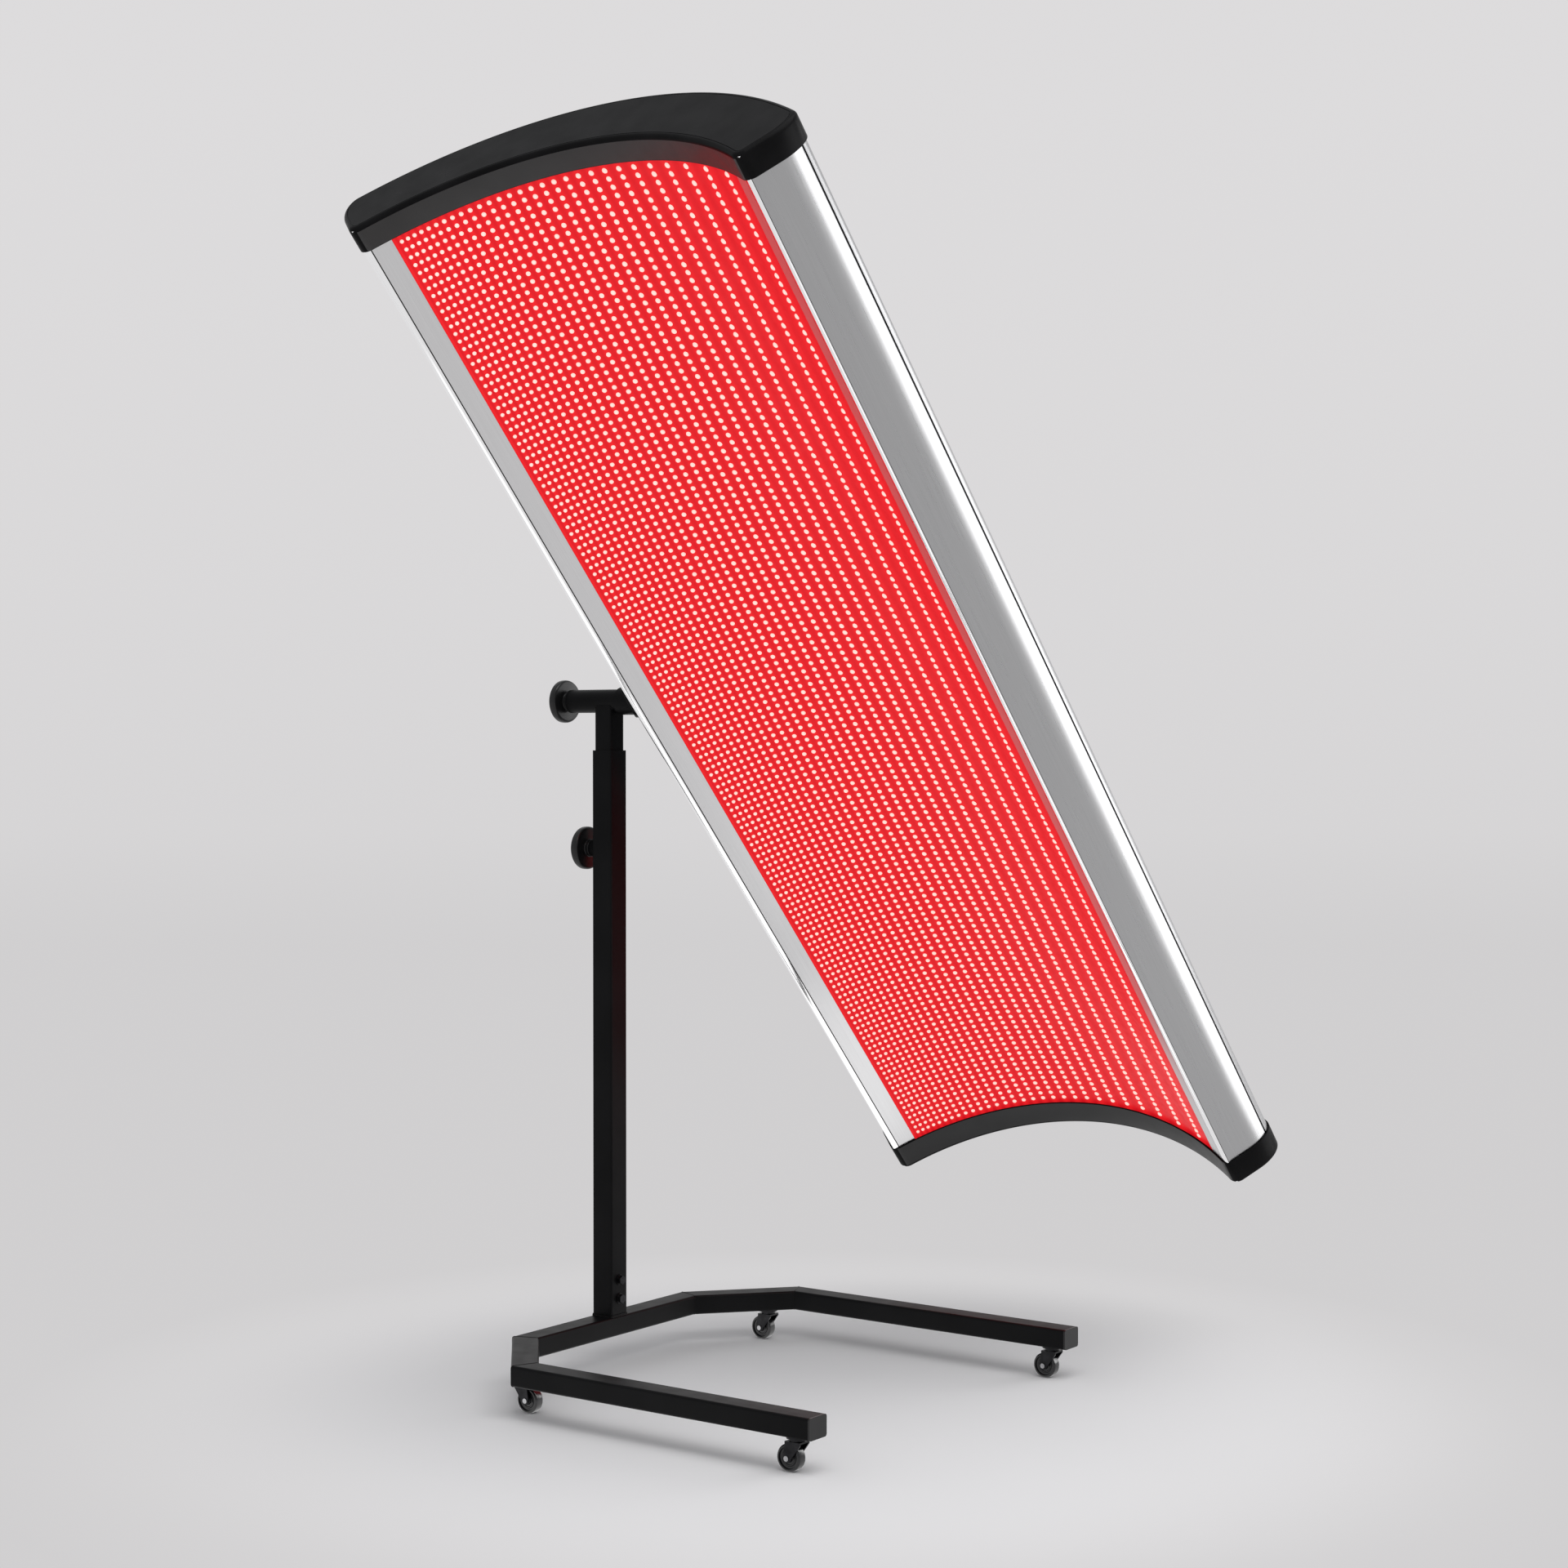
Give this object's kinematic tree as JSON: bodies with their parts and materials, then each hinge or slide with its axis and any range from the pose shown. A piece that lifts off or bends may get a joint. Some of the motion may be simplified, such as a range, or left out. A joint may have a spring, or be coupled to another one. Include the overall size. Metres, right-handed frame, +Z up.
{
  "type": "red light therapy canopy",
  "caption": "Arched red light therapy panel that tilts and slides on a telescopic mast with hand knobs, carried by a U-shaped steel base on swivel casters.",
  "frame": {"origin": "middle of the bounding box at floor level, under the wheels", "axes": "+Z up; the base legs point to -Y, away from the mast; the canopy lies on the mast's -Y side, its top end leaning to -X and its lamps facing down and to -X"},
  "size_m": [1.5938, 0.8958, 1.9104],
  "materials": {
    "powder_black": "fine satin powder coat",
    "moulded_black": "satin moulded plastic",
    "tread_black": "polished hard wheel",
    "dark_steel": "blackened steel",
    "bright_steel": "bright zinc plate",
    "satin_aluminium": "satin anodised extrusion",
    "back_silver": "silver painted sheet",
    "supply_case": "folded mill sheet",
    "lamp_red": "lit red lamp board",
    "rocker_red": "red switch rocker",
    "nylon_white": "natural nylon",
    "zinc_sheet": "zinc plated sheet"
  },
  "bodies": {
    "base": {"base_leg_left": "powder_black", "base_leg_right": "powder_black", "base_corner_left": "powder_black", "base_corner_right": "powder_black", "base_crossbar": "powder_black", "leg_end_plug_left": "moulded_black", "leg_end_plug_right": "moulded_black", "mast_stub": "powder_black", "mast_tube": "powder_black", "mast_foot_bolt_lower": "dark_steel", "mast_foot_bolt_upper": "dark_steel", "mast_sleeve": "nylon_white", "height_lock_boss": "powder_black", "caster_rear_left_seat": "dark_steel", "caster_rear_right_seat": "dark_steel", "caster_front_left_seat": "dark_steel", "caster_front_right_seat": "dark_steel"},
    "height_knob": {"height_lock_knob": "moulded_black", "height_lock_stud": "bright_steel"},
    "inner_mast": {"mast_inner_tube": "powder_black", "mast_inner_glide": "nylon_white", "head_tube": "powder_black", "head_bush_front": "moulded_black", "head_bush_rear": "moulded_black"},
    "canopy": {"canopy_spindle": "powder_black", "pivot_backing_plate": "zinc_sheet", "pivot_bolt": "bright_steel", "side_rail_left": "satin_aluminium", "side_rail_right": "satin_aluminium", "lamp_board_lower": "lamp_red", "lamp_board_middle": "lamp_red", "lamp_board_upper": "lamp_red", "back_cover": "back_silver", "frame_rib_lower": "zinc_sheet", "frame_rib_upper": "zinc_sheet", "spine_channel": "zinc_sheet", "end_cap_top": "moulded_black", "end_cap_bottom": "moulded_black", "power_supply_upper": "supply_case", "power_supply_lower": "supply_case", "fan_frame_upper": "moulded_black", "fan_frame_lower": "moulded_black", "power_inlet": "moulded_black"},
    "tilt_knob": {"tilt_lock_knob": "moulded_black", "tilt_lock_stud": "bright_steel"},
    "upper_fan": {"fan_rotor_upper": "moulded_black"},
    "lower_fan": {"fan_rotor_lower": "moulded_black"},
    "rocker": {"switch_rocker": "rocker_red"},
    "swivel_rear_left": {"caster_rear_left_fork": "dark_steel", "caster_rear_left_axle": "bright_steel"},
    "swivel_rear_right": {"caster_rear_right_fork": "dark_steel", "caster_rear_right_axle": "bright_steel"},
    "swivel_front_left": {"caster_front_left_fork": "dark_steel", "caster_front_left_axle": "bright_steel"},
    "swivel_front_right": {"caster_front_right_fork": "dark_steel", "caster_front_right_axle": "bright_steel"},
    "wheel_rear_left": {"caster_rear_left_wheel": "tread_black"},
    "wheel_rear_right": {"caster_rear_right_wheel": "tread_black"},
    "wheel_front_left": {"caster_front_left_wheel": "tread_black"},
    "wheel_front_right": {"caster_front_right_wheel": "tread_black"}
  },
  "joints": [
    {"name": "height_slide", "type": "slide", "parent": "base", "child": "inner_mast", "axis": [0, 0, 1], "range_m": [-0.04, 0.38]},
    {"name": "height_knob_turn", "type": "hinge", "parent": "base", "child": "height_knob", "pos_m": [-0.12716, 0.38194, 0.846], "axis": [0, 1, 0], "range_deg": [0, 540]},
    {"name": "canopy_tilt", "type": "hinge", "parent": "inner_mast", "child": "canopy", "pos_m": [-0.12716, 0.30334, 1.086], "axis": [0, -1, 0], "range_deg": [-18.3, 46.7]},
    {"name": "tilt_knob_turn", "type": "hinge", "parent": "canopy", "child": "tilt_knob", "pos_m": [-0.12716, 0.42794, 1.086], "axis": [0, 1, 0], "range_deg": [0, 540]},
    {"name": "upper_fan_spin", "type": "hinge", "parent": "canopy", "child": "upper_fan", "pos_m": [-0.38692, -0.05634, 1.56259], "axis": [0.7262, 0.0663, 0.6843], "continuous": true},
    {"name": "lower_fan_spin", "type": "hinge", "parent": "canopy", "child": "lower_fan", "pos_m": [0.46349, -0.05634, 0.66016], "axis": [0.7262, 0.0663, 0.6843], "continuous": true},
    {"name": "switch_rock", "type": "hinge", "parent": "canopy", "child": "rocker", "pos_m": [0.67641, -0.05199, 0.52965], "axis": [0.0482, -0.9978, 0.0455], "range_deg": [-18, 0]},
    {"name": "rear_left_swivel", "type": "hinge", "parent": "base", "child": "swivel_rear_left", "pos_m": [-0.43994, 0.25616, 0.044], "axis": [0, 0, 1], "continuous": true},
    {"name": "rear_right_swivel", "type": "hinge", "parent": "base", "child": "swivel_rear_right", "pos_m": [0.18562, 0.25616, 0.044], "axis": [0, 0, 1], "continuous": true},
    {"name": "front_left_swivel", "type": "hinge", "parent": "base", "child": "swivel_front_left", "pos_m": [-0.47766, -0.28066, 0.044], "axis": [0, 0, 1], "continuous": true},
    {"name": "front_right_swivel", "type": "hinge", "parent": "base", "child": "swivel_front_right", "pos_m": [0.22334, -0.28066, 0.044], "axis": [0, 0, 1], "continuous": true},
    {"name": "rear_left_wheel_spin", "type": "hinge", "parent": "swivel_rear_left", "child": "wheel_rear_left", "pos_m": [-0.43994, 0.24616, 0.02], "axis": [1, 0, 0], "continuous": true},
    {"name": "rear_right_wheel_spin", "type": "hinge", "parent": "swivel_rear_right", "child": "wheel_rear_right", "pos_m": [0.18562, 0.26616, 0.02], "axis": [1, 0, 0], "continuous": true},
    {"name": "front_left_wheel_spin", "type": "hinge", "parent": "swivel_front_left", "child": "wheel_front_left", "pos_m": [-0.47766, -0.27066, 0.02], "axis": [1, 0, 0], "continuous": true},
    {"name": "front_right_wheel_spin", "type": "hinge", "parent": "swivel_front_right", "child": "wheel_front_right", "pos_m": [0.22334, -0.27066, 0.02], "axis": [1, 0, 0], "continuous": true}
  ]
}
